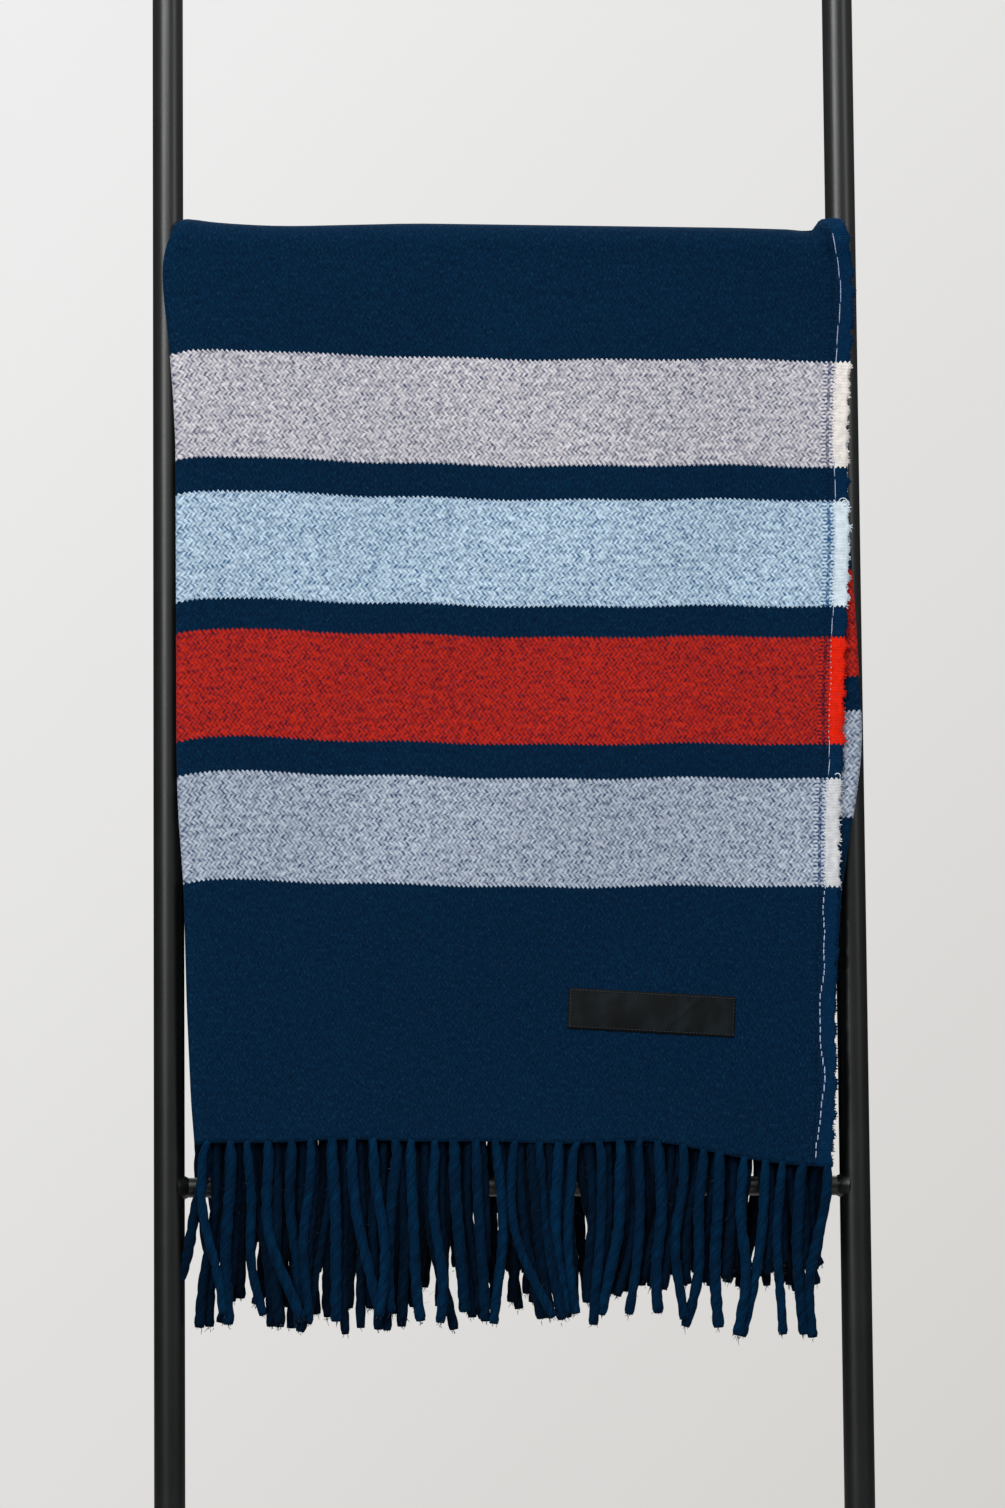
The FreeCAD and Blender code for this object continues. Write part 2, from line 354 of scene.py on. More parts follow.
def mesh_object(name, verts, faces, material):
    mesh = bpy.data.meshes.new(name)
    mesh.from_pydata([tuple(p) for p in verts], [], [tuple(int(i) for i in f) for f in faces])
    mesh.materials.append(material)
    mesh.polygons.foreach_set("use_smooth", [True] * len(mesh.polygons))
    mesh.update()
    obj = bpy.data.objects.new(name, mesh)
    bpy.context.scene.collection.objects.link(obj)
    return obj


def grid_faces(n_columns, n_rows):
    c, r = np.meshgrid(np.arange(n_columns - 1), np.arange(n_rows - 1), indexing="ij")
    first = (c * n_rows + r).ravel()
    return np.stack([first, first + n_rows, first + n_rows + 1, first + 1], -1)


def point_vectors(obj, name, values):
    attribute = obj.data.attributes.new(name, "FLOAT_VECTOR", "POINT")
    attribute.data.foreach_set("vector", np.asarray(values, np.float32).ravel())


def make_throw(material):
    v = rows()
    table = columns()
    verts = np.concatenate([column_points(kind, share, v) for kind, share, _ in table])
    flat = [np.stack([across + 0 * v, v, 0 * v], -1) for _, _, across in table]
    obj = mesh_object("throw_sheet", verts, grid_faces(len(table), len(v)), material)
    point_vectors(obj, "flat", np.concatenate(flat))
    shell = obj.modifiers.new("cloth_thickness", "SOLIDIFY")
    shell.thickness = THICKNESS
    shell.offset = 0.0
    shell.use_even_offset = False
    shell.use_rim = True
    return obj


# -------------------- tassels


def smooth_path(points, count):
    """A Catmull-Rom curve through the points, as count evenly shared points."""
    p = np.vstack([2 * points[0] - points[1], points, 2 * points[-1] - points[-2]])
    t = np.linspace(0, len(points) - 1 - 1e-9, count)
    i = t.astype(int)
    f = (t - i)[:, None]
    a, b, c, d = p[i], p[i + 1], p[i + 2], p[i + 3]
    linear = (c - a) * f
    square = (2 * a - 5 * b + 4 * c - d) * f**2
    cube = (3 * b - 3 * c + d - a) * f**3
    return 0.5 * (2 * b + linear + square + cube)


def frames_along(path):
    """Two unit vectors across the path at each of its points, turning with it and not about it."""
    tangent = np.gradient(path, axis=0)
    tangent /= np.linalg.norm(tangent, axis=1)[:, None]
    side = np.cross(tangent[0], [0.0, 1.0, 0.0])
    side /= np.linalg.norm(side)
    sides = []
    for direction in tangent:
        side = side - direction * (side @ direction)
        side = side / np.linalg.norm(side)
        sides.append(side)
    sides = np.array(sides)
    return sides, np.cross(tangent, sides)


def tube(path, radii, sides):
    """Vertices and faces of a closed tube along a path. radii has one radius for each point of the
    path, or one for each vertex of each ring."""
    a, b = frames_along(path)
    angle = np.linspace(0, 2 * math.pi, sides, endpoint=False)
    ring = np.cos(angle)[None, :, None] * a[:, None] + np.sin(angle)[None, :, None] * b[:, None]
    count = len(path)
    verts = (path[:, None] + ring * np.reshape(radii, (count, -1, 1))).reshape(-1, 3)
    i, j = np.meshgrid(np.arange(count - 1), np.arange(sides), indexing="ij")
    k = (j + 1) % sides
    quads = np.stack([i * sides + j, i * sides + k, (i + 1) * sides + k, (i + 1) * sides + j], -1)
    faces = [list(q) for q in quads.reshape(-1, 4)]
    faces.append(list(range(sides))[::-1])
    faces.append(list(range((count - 1) * sides, count * sides)))
    return verts, faces


class Mesh:
    """Gathers tubes into one mesh, with a vector for each vertex, or one for the whole tube."""

    def __init__(self):
        self.verts = []
        self.faces = []
        self.notes = []
        self.count = 0

    def add(self, verts, faces, notes):
        self.verts.append(verts)
        self.notes.append(np.broadcast_to(notes, (len(verts), 3)))
        self.faces += [[i + self.count for i in f] for f in faces]
        self.count += len(verts)

    def build(self, name, material, note_name="yarn"):
        obj = mesh_object(name, np.concatenate(self.verts), self.faces, material)
        point_vectors(obj, note_name, np.concatenate(self.notes))
        return obj


def settle(roots, heading, lengths, sway, seed, front, hidden):
    """Lets tassels hang from their roots: a chain of points each, under gravity, kept apart from
    each other, behind the sheet where hidden, and out of the rung. Returns an array of tassels,
    points and places."""
    random = np.random.default_rng(seed)
    count = len(roots)
    step = (lengths / LINKS)[:, None]
    points = np.zeros((count, LINKS + 1, 3))
    points[:, 0] = roots
    for k in range(1, LINKS + 1):
        share = k / LINKS
        move = heading * (1 - share) + np.array([0.0, 0.0, -1.0]) * share
        move = move / np.linalg.norm(move, axis=1)[:, None]
        points[:, k] = points[:, k - 1] + move * step
    points[:, 1:, 0] += random.normal(0, 0.0014, (count, LINKS))
    points[:, 1:, 1] += random.normal(0, 0.0010, (count, LINKS))
    owner = np.repeat(np.arange(count), LINKS + 1)
    keep_apart = 1.72 * TASSEL_R
    clear = RUNG_R + TASSEL_R
    level = np.arange(LINKS + 1)[None, :] / LINKS
    swing = random.uniform(0.2, 1.0, (count, 1)) * 1.4
    turns = random.uniform(4.0, 8.5, (count, 1))
    wiggle = swing * np.sin(level * turns + random.uniform(0, 6.28, (count, 1)))
    pull = sway[:, None] * level**1.3 + wiggle * np.minimum(1, 3 * level)
    for turn in range(TURNS):
        points[:, 2:, 2] -= FALL
        points[:, 2:, 0] += pull[:, 2:] * SWING
        points[:, 2:, 1] += wiggle[::-1, 2:] * 0.00005
        if turn % 2 == 0:
            flat = points.reshape(-1, 3)
            order = np.argsort(flat[:, 2])
            sorted_points = flat[order]
            sorted_owner = owner[order]
            push = np.zeros_like(flat)
            for gap in range(1, NEIGHBOURS):
                delta = sorted_points[gap:] - sorted_points[:-gap]
                distance = np.linalg.norm(delta, axis=1) + 1e-9
                touch = (distance < keep_apart) & (sorted_owner[gap:] != sorted_owner[:-gap])
                amount = np.where(touch, (keep_apart - distance) * 0.30, 0) / distance
                shift = delta * amount[:, None]
                push[order[gap:]] += shift
                push[order[:-gap]] -= shift
            push = np.clip(push, -PUSH, PUSH)
            moved = (flat + push).reshape(points.shape)
            points[:, 2:] = moved[:, 2:]
        keep_behind(points, hidden, front)
        if front:
            away = points[:, 1:, 1:] - LOW_RUNG[1:]
            distance = np.linalg.norm(away, axis=2)
            away[..., 0] = np.minimum(away[..., 0], -0.0002)
            scale = np.where(distance < clear, clear / np.maximum(distance, 1e-6), 1.0)
            points[:, 1:, 1:] = LOW_RUNG[1:] + away * scale[..., None]
        for _ in range(3):
            for k in range(1, LINKS + 1):
                delta = points[:, k] - points[:, k - 1]
                distance = np.linalg.norm(delta, axis=1)[:, None]
                points[:, k] = points[:, k - 1] + delta * (step / distance)
        bend = (points[:, :-2] + points[:, 2:]) / 2 - points[:, 1:-1]
        points[:, 2:-1] += 0.26 * bend[:, 1:]
    return points


def keep_behind(points, hidden, front):
    """Keeps the inner layers' tassels behind the outer sheet until they are past its hem."""
    deepest = LAYERS[0] - THICKNESS / 2 - TASSEL_R
    some = points[hidden, 1:]
    if front:
        from_rung = some - TOP_RUNG
        drop = -from_rung @ UP
        hem = FRONT_LENGTH + sag(some[..., 0], np.full(drop.shape, FRONT_LENGTH))
        n = from_rung @ OUT
        over = np.clip(n - stand_off(some[..., 0]) - deepest, 0, None)
        over *= 1 - smooth(drop, hem - 0.004, hem + 0.012)
        some = some - OUT * over[..., None]
    else:
        hem = TOP_RUNG[2] - (CLOTH_LENGTH - FRONT_LENGTH - ARC_LENGTH)
        over = np.clip(some[..., 1] - TOP_RUNG[1] - RUNG_R - ON_RUNG - deepest, 0, None)
        over *= smooth(some[..., 2], hem - 0.012, hem + 0.004)
        some[..., 1] -= over
    points[hidden, 1:] = some


def tassel(bundle, path, seed, tone):
    """A felted two-ply cord, thin where it leaves the hem and cut blunt at its end."""
    random = np.random.default_rng(seed)
    rings = 44
    sides = 12
    line = smooth_path(path, rings)
    along = np.concatenate([[0], np.cumsum(np.linalg.norm(np.diff(line, axis=0), axis=1))])
    lead = random.uniform(0.024, 0.036)
    phase = random.uniform(0, 2 * math.pi)
    left = along[-1] - along
    swell = 1 - 0.24 * np.exp(-((along / 0.009) ** 2)) + 0.04 * np.exp(-((left / 0.006) ** 2))
    lumps = 0.030 * np.sin(along * 270 + phase) + 0.025 * np.sin(along * 611 + 2 * phase)
    radii = TASSEL_R * random.uniform(0.84, 1.08) * (swell + lumps)
    radii[-1] *= 0.80
    angle = np.linspace(0, 2 * math.pi, sides, endpoint=False)
    twist = 2 * math.pi * along / lead + phase
    wound = angle[None, :] - twist[:, None]
    lobes = 0.85 + 0.16 * np.abs(np.cos(wound)) ** 0.8
    lobes = lobes + random.normal(0, 0.022, lobes.shape)
    verts, faces = tube(line, radii[:, None] * lobes, sides)
    turn = wound / (2 * math.pi)
    # The yarn's lightness: its layer's painted shade times a random tone of its own
    shade_and_tone = np.full(rings * sides, tone * random.uniform(0.55, 1.0))
    notes = np.stack([np.repeat(along, sides), turn.ravel(), shade_and_tone], -1)
    bundle.add(verts, faces, notes)


# Stray hairs: how many at a tassel's end and along it, and their radii
END_HAIRS, END_HAIR_R = 7, 0.00030
SIDE_HAIRS, SIDE_HAIR_R = 8, 0.00010


def stray_fibre(bundle, start, direction, length, radius, random):
    """One loose hair of yarn: a thin curved tube."""
    side = random.normal(0, 0.35, 3)
    t = np.linspace(0, 1, 5)[:, None]
    path = start + direction * length * t + side * length * t**2
    path = path + np.array([0, 0, -0.25]) * length * t**2
    radii = radius * np.array([1.0, 1.0, 0.9, 0.7, 0.4])
    verts, faces = tube(path, radii, 3)
    bundle.add(verts, faces, [length, 0.5, random.uniform(0, 1)])


def hem_roots(kind, count, front, random):
    """Where a layer's tassels leave its hem, and the way the cloth points there."""
    stagger = {0: 0.0, 2: 0.33, 4: -0.33}[kind] + random.uniform(-0.14, 0.14, count)
    shares = np.clip((np.arange(count) + 0.32 + stagger) / (count - 0.36), 0.004, 0.996)
    if kind == 2:
        shares = shares**1.12
    v = np.array([0.0015, 0.012])
    if not front:
        v = CLOTH_LENGTH - v
    pairs = np.array([column_points(kind, s, v) for s in shares])
    heading = pairs[:, 0] - pairs[:, 1]
    heading /= np.linalg.norm(heading, axis=1)[:, None]
    return pairs[:, 0], heading


def make_fringe(name, front, seed, yarn, hair):
    """All tassels of one end: three layers, settled together so that they hang past each other."""
    random = np.random.default_rng(seed)
    panels = zip((0, 2, 4), TASSEL_COUNTS)
    layers = [hem_roots(kind, count, front, random) for kind, count in panels]
    roots, heads = (np.concatenate(part) for part in zip(*layers))
    # The hidden layers' tassels take darker yarn: painted shade
    shade_and_tone = np.repeat(TASSEL_PAINTED_SHADE, TASSEL_COUNTS)
    hidden = np.arange(len(roots)) >= TASSEL_COUNTS[0]
    x = roots[:, 0]
    longer = 1.06 + 0.10 * smooth(x, -0.20, -0.10) - 0.09 * smooth(x, 0.03, 0.15)
    lengths = TASSEL_LENGTH * random.uniform(0.955, 1.035, len(roots))
    lengths = lengths * np.where(hidden, longer, 1.0)
    wave = np.sin(x * 31 + 0.7) + 0.8 * np.sin(x * 73 + 2.0)
    sway = 0.25 * wave + random.normal(0, 0.85, len(roots))
    outward = np.where(hidden, -1.4, -0.2) if front else 1.2
    sway += outward * smooth(-x, 0.185, 0.226)
    sway -= (0.9 if front else 0.5) * smooth(x, 0.185, 0.226)
    paths = settle(roots, heads, lengths, sway, seed + 1, front, hidden)
    cords = Mesh()
    hairs = Mesh()
    for i, path in enumerate(paths):
        tassel(cords, path, seed + 100 + i, shade_and_tone[i])
        down = path[-1] - path[-2]
        down = down / np.linalg.norm(down)
        for _ in range(END_HAIRS):
            start = path[-1] - down * random.uniform(0, 0.002) + random.normal(0, 0.0011, 3)
            way = down * 0.9 + random.normal(0, 0.35, 3)
            stray_fibre(hairs, start, way, random.uniform(0.0010, 0.0028), END_HAIR_R, random)
        for _ in range(SIDE_HAIRS):
            k = random.integers(2, len(path) - 1)
            way = random.normal(0, 0.6, 3)
            stray_fibre(hairs, path[k], way, random.uniform(0.0045, 0.0062), SIDE_HAIR_R, random)
    return cords.build(name, yarn), hairs.build(name + "_fluff", hair)


# -------------------- selvedge, stitching and label


def front_face(x, drop_v, lift=0.0):
    """A point on the front layer's outer face, at x and v, lifted off it by lift."""
    v = np.atleast_1d(drop_v)
    x = np.atleast_1d(x)
    start = FRONT_LENGTH + 0 * v
    left, right, _, _ = front_edges(v, LAYERS[0], start)
    near_fold = FOLD_BULGE * np.exp(-(((x - left - 0.003) / 0.013) ** 2))
    t = LAYERS[0] + near_fold + selvedge_lift(right - x, v, right) + THICKNESS / 2 + lift
    return place(x, v, t, start)


def from_selvedge(distance, v):
    """The x that lies a distance in from the front's right selvedge."""
    v = np.atleast_1d(v)
    _, right, _, _ = front_edges(v, LAYERS[0], FRONT_LENGTH + 0 * v)
    return right - distance


def band_at(v):
    v = min(v, CLOTH_LENGTH - v)
    return next(name for end, name in BANDS if v <= end)


# The running stitch: least and greatest length, least and greatest gap, and the thread's radius
SUNK_STITCH = (0.0010, 0.0016, 0.0022, 0.0032, 0.00026)
LOW_STITCH = (0.0024, 0.0048, 0.0006, 0.0017, 0.00040)
HIGH_STITCH = (0.0090, 0.0150, 0.0008, 0.0020, 0.00029)
LOW_BELOW = 0.21
# Loose ends of weft on the selvedge: v, distance in from the edge, radius and angle of the curl
LOOSE_ENDS = [
    (0.4665, 0.004, 0.0030, 4.2),
    (0.4655, 0.002, 0.0022, 3.4),
    (0.2668, 0.003, 0.0020, 3.0),
]


def make_stitches(thread):
    """The running stitch inside the selvedge: long stitches high up, short and wandering ones
    near the hem, and sunk almost out of sight in the coloured bands."""
    bundle = Mesh()
    random = np.random.default_rng(41)
    v = 0.006
    while v < FRONT_LENGTH + 0.004:
        low = v < LOW_BELOW
        stitch = LOW_STITCH if low else HIGH_STITCH
        if band_at(v) != "navy":
            stitch = SUNK_STITCH
        shortest, longest, least_gap, widest_gap, radius = stitch
        length = random.uniform(shortest, longest)
        gap = random.uniform(least_gap, widest_gap)
        at = np.linspace(v, v + length, 6)
        wander = 0.0006 * math.sin(v * 90) + random.normal(0, 0.00012)
        if low:
            wander += 0.0009 * math.sin(v * 71 + 1) + 0.0005 * math.sin(v * 193)
        x = from_selvedge(STITCH_FROM_EDGE + wander, at)
        arch = 0.00016 * np.sin(np.linspace(0, math.pi, 6)) + 0.00005
        path = front_face(x, at, arch)
        radii = np.array([0.6, 1.0, 1.0, 1.0, 1.0, 0.6]) * radius
        verts, faces = tube(path, radii, 6)
        bundle.add(verts, faces, [v, 0.0, 0.0])
        v += length + gap
    return bundle.build("selvedge_stitches", thread)


FRAY_PITCH = 0.00052
FRAY_R = 0.00042


def make_fray(hair):
    """Short cut ends of weft along the front's right selvedge."""
    bundle = Mesh()
    random = np.random.default_rng(77)
    for v in np.arange(0.003, FRONT_LENGTH + ARC_LENGTH * 0.6, FRAY_PITCH):
        at = np.array([v + random.normal(0, 0.0003)])
        x = from_selvedge(0.0010, at) + ragged(v)
        start = front_face(x, at, -random.uniform(0.0003, THICKNESS * 0.95))[0]
        way = np.array([1.0, random.normal(0, 0.30), random.normal(0, 0.45)])
        clump = 0.5 + 0.5 * math.sin(v * 890) * math.sin(v * 371 + 1)
        length = 0.0012 + 0.0016 * clump * random.uniform(0.2, 1.0)
        if random.uniform() < 0.02:
            length *= 1.8
        side = random.normal(0, 0.25, 3)
        t = np.linspace(0, 1, 4)[:, None]
        path = start + way * length * t + side * length * t**2
        verts, faces = tube(path, FRAY_R * np.array([1.0, 1.0, 0.9, 0.55]), 5)
        flat = [0.002, v, 0.0]
        bundle.add(verts, faces, flat)
    for v, inset, radius, turn in LOOSE_ENDS:
        add_curl(bundle, v, inset, radius, turn)
    return bundle.build("selvedge_fray", hair, "flat")


def add_curl(bundle, v, inset, radius, turn):
    """A loose end of weft lying on the selvedge in an open curl."""
    angle = np.linspace(0.4, 0.4 + turn, 14)
    along = v + radius * np.sin(angle)
    x = from_selvedge(inset, along) - radius * np.cos(angle)
    path = front_face(x, along, 0.0006 + 0.0002 * np.sin(3 * angle))
    verts, faces = tube(path, np.full(14, 0.00034), 6)
    bundle.add(verts, faces, [0.002, 0.45, 0.0])


LABEL_WIDTH = 0.1205
LABEL_HEIGHT = 0.0292
LABEL_TILT = math.radians(3.2)
LABEL_SEAM = 0.0016
LABEL_STITCH = 0.0026


def label_point(a, b, lift):
    """A point on the label: a across and b up from its middle, in metres, lifted off the cloth."""
    low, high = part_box("label")
    centre_x = (low[0] + high[0]) / 2
    centre = np.array([0, (low[1] + high[1]) / 2, (low[2] + high[2]) / 2])
    centre_drop = (TOP_RUNG - centre) @ UP
    x = centre_x + a * math.cos(LABEL_TILT) + b * math.sin(LABEL_TILT)
    drop = centre_drop + a * math.sin(LABEL_TILT) - b * math.cos(LABEL_TILT)
    n = stand_off(x) + LAYERS[0] + THICKNESS / 2 + ripple(x, drop) + lift
    base = TOP_RUNG + np.zeros(np.shape(x) + (3,))
    point = base - UP * np.asarray(drop)[..., None] + OUT * np.asarray(n)[..., None]
    point[..., 0] = x
    return point


def make_label(satin):
    """A woven tab, rounded off at its ends and puckered a little by its stitching."""
    across, up = 62, 20
    a, b = np.meshgrid(np.linspace(-0.5, 0.5, across), np.linspace(-0.5, 0.5, up), indexing="ij")
    round_off = np.clip((np.abs(a) - 0.485) / 0.015, 0, 1) ** 2
    pucker = 0.00022 * np.sin(a * 61 + 3 * b) * smooth(np.abs(b), 0.30, 0.5)
    crease = 0.00035 * np.exp(-(((a - 0.18 - 0.25 * b) / 0.02) ** 2))
    dent = 0.0003 * np.exp(-(((a + 0.27 + 0.2 * b) / 0.03) ** 2))
    belly = 0.0006 * (1 - (2 * b) ** 2) * (1 - (2 * a) ** 4)
    lift = 0.0007 + pucker + (crease - dent) + belly - 0.0006 * round_off
    x, y = a * LABEL_WIDTH, b * LABEL_HEIGHT
    top = label_point(x, y, lift)
    under = label_point(x, y, -0.0004 + 0 * lift)
    verts = np.concatenate([top.reshape(-1, 3), under.reshape(-1, 3)])
    faces = [list(f) for f in grid_faces(across, up)]
    offset = across * up
    faces += [[i + offset for i in f[::-1]] for f in grid_faces(across, up)]
    rim = [c * up for c in range(across)]
    rim += [(across - 1) * up + r for r in range(1, up)]
    rim += [c * up + up - 1 for c in range(across - 2, -1, -1)]
    rim += range(up - 2, 0, -1)
    faces += [[j, i, i + offset, j + offset] for i, j in zip(rim, rim[1:] + rim[:1])]
    obj = mesh_object("label_tab", verts, faces, satin)
    flat = np.stack([x, y, 0 * a], -1).reshape(-1, 3)
    point_vectors(obj, "flat", np.concatenate([flat, flat]))
    return obj


def make_label_stitches(thread):
    """Small stitches round the label's edge."""
    bundle = Mesh()
    wide, high = LABEL_WIDTH / 2 - LABEL_SEAM, LABEL_HEIGHT / 2 - LABEL_SEAM
    run = np.linspace(0, LABEL_STITCH * 0.62, 4)
    lift = 0.00095 + 0.00022 * np.sin(np.linspace(0, math.pi, 4))
    lines = []
    for side in (-1, 1):
        lines += [(a + run, side * high + 0 * run) for a in np.arange(-wide, wide, LABEL_STITCH)]
        lines += [(side * wide + 0 * run, b + run) for b in np.arange(-high, high, LABEL_STITCH)]
    for a, b in lines:
        verts, faces = tube(label_point(a, b, lift), np.full(4, 0.00022), 5)
        bundle.add(verts, faces, [a[0], 0.0, 0.0])
    return bundle.build("label_stitches", thread)


# -------------------- materials


def srgb(r, g, b):
    """An 8-bit screen colour as linear light."""
    made = []
    for c in (r, g, b):
        c /= 255
        made.append(c / 12.92 if c <= 0.04045 else ((c + 0.055) / 1.055) ** 2.4)
    return (*made, 1.0)


class Nodes:
    """Builds one material's node tree. Numbers and sockets can both be inputs."""

    def __init__(self, name):
        self.material = bpy.data.materials.new(name)
        self.material.use_nodes = True
        self.tree = self.material.node_tree
        self.tree.nodes.clear()
        self.shader = self.node("BsdfPrincipled")
        self.feed(self.node("OutputMaterial").inputs["Surface"], self.shader.outputs[0])

    def node(self, kind):
        return self.tree.nodes.new("ShaderNode" + kind)

    def feed(self, socket, value):
        if isinstance(value, bpy.types.NodeSocket):
            self.tree.links.new(value, socket)
        else:
            socket.default_value = value

    def math(self, operation, a, b=0.0):
        node = self.node("Math")
        node.operation = operation
        for socket, value in zip(node.inputs, (a, b)):
            self.feed(socket, value)
        return node.outputs[0]

    def plus(self, a, b):
        return self.math("ADD", a, b)

    def minus(self, a, b):
        return self.math("SUBTRACT", a, b)

    def times(self, a, b):
        return self.math("MULTIPLY", a, b)

    def over(self, a, b):
        return self.math("DIVIDE", a, b)

    def sine(self, value, wavelength):
        return self.math("SINE", self.times(value, 2 * math.pi / wavelength))

    def mix(self, share, a, b, blend="MIX"):
        node = self.node("Mix")
        node.data_type = "RGBA"
        node.blend_type = blend
        self.feed(node.inputs[0], share)
        self.feed(node.inputs[6], a)
        self.feed(node.inputs[7], b)
        return node.outputs[2]

    def step(self, value, low, high):
        """0 below low and 1 above high, smoothly."""
        node = self.node("MapRange")
        node.interpolation_type = "SMOOTHSTEP"
        self.feed(node.inputs["Value"], value)
        self.feed(node.inputs["From Min"], low)
        self.feed(node.inputs["From Max"], high)
        return node.outputs[0]

    def noise(self, vector, scale, detail=3.0, roughness=0.5):
        node = self.node("TexNoise")
        self.feed(node.inputs["Vector"], vector)
        node.inputs["Scale"].default_value = scale
        node.inputs["Detail"].default_value = detail
        node.inputs["Roughness"].default_value = roughness
        return node.outputs[0]

    def attribute(self, name):
        node = self.node("Attribute")
        node.attribute_name = name
        return node.outputs["Vector"]

    def position(self):
        return self.node("TexCoord").outputs["Object"]

    def split(self, vector):
        node = self.node("SeparateXYZ")
        self.feed(node.inputs[0], vector)
        return tuple(node.outputs)

    def join(self, x, y, z=0.0):
        node = self.node("CombineXYZ")
        for socket, value in zip(node.inputs, (x, y, z)):
            self.feed(socket, value)
        return node.outputs[0]

    def ramp(self, value, stops):
        """Plain steps of colour: stops are (start, colour)."""
        node = self.node("ValToRGB")
        node.color_ramp.interpolation = "CONSTANT"
        elements = node.color_ramp.elements
        elements[0].position, elements[0].color = stops[0]
        elements[1].position, elements[1].color = stops[1]
        for at, colour in stops[2:]:
            elements.new(at).color = colour
        self.feed(node.inputs[0], value)
        return node.outputs[0]

    def bump(self, height, strength, distance):
        node = self.node("Bump")
        node.inputs["Strength"].default_value = strength
        node.inputs["Distance"].default_value = distance
        self.feed(node.inputs["Height"], height)
        self.feed(self.shader.inputs["Normal"], node.outputs[0])

    def set(self, **values):
        """Sets the shader's inputs, so that sheen_tint is its Sheen Tint."""
        short = {"color": "Base Color", "specular": "Specular IOR Level", "sheen": "Sheen Weight"}
        for key, value in values.items():
            self.feed(self.shader.inputs[short.get(key, key.replace("_", " ").title())], value)


YARN_FACE = {
    "navy": srgb(0, 33, 59),
    "slate": srgb(184, 194, 206),
    "red": srgb(186, 38, 16),
    "sky": srgb(194, 216, 230),
    "pearl": srgb(212, 209, 212),
}
YARN_SPECK = {
    "navy": srgb(0, 22, 44),
    "slate": srgb(32, 58, 96),
    "red": srgb(70, 16, 34),
    "sky": srgb(34, 82, 126),
    "pearl": srgb(66, 74, 102),
}
YARN_EDGE = {
    "navy": srgb(0, 36, 66),
    "slate": srgb(206, 208, 210),
    "red": srgb(226, 34, 6),
    "sky": srgb(212, 226, 234),
    "pearl": srgb(232, 226, 220),
}
# The weave's repeats, in metres
WEAVE_PITCH = 0.0034
WEAVE_ROW = 0.0034
DARK_COLUMN = 0.0037
DOT_PITCH = 0.0027
RIB_PITCH = 0.0011
TOOTH = 0.0006
TWIST_PITCH = 0.0007
LABEL_RIB = 0.00052
LABEL_WARP = 0.00040
# The colour ramp runs from 0 to 1 over this length of cloth
BAND_SCALE = 0.64


def band_stops(colours):
    stops = []
    start = 0.0
    for end, name in BANDS:
        stops.append((start / BAND_SCALE, colours[name]))
        start = end
    return stops


def weave(n, across, along):
    """The herringbone twill, low on the dark specks and high on the light yarn: rows of slanted
    dashes, which lean one way and the other in turn."""
    row = n.math("FLOOR", n.over(along, WEAVE_ROW))
    in_row = n.math("FRACT", n.over(along, WEAVE_ROW))
    odd = n.times(n.math("FRACT", n.times(row, 0.5)), 2.0)
    shifted = n.times(odd, WEAVE_PITCH * 0.5)
    turned = n.minus(1.0, n.times(odd, 2.0))
    slope = n.times(n.times(n.minus(in_row, 0.5), WEAVE_ROW * 0.62), turned)
    place = n.plus(n.plus(across, slope), shifted)
    dash = n.sine(place, WEAVE_PITCH)
    ends = n.math("ABSOLUTE", n.minus(in_row, 0.5))
    fading = n.math("POWER", n.times(ends, 2.0), 4.0)
    soft = n.minus(1.0, n.times(fading, 0.7))
    cells = n.join(n.over(place, WEAVE_PITCH), n.over(along, WEAVE_ROW))
    chance = n.minus(n.noise(cells, 1.05, 1.0, 0.4), 0.5)
    dashes = n.times(n.times(dash, soft), 0.85)
    return n.plus(dashes, n.times(chance, 4.4))


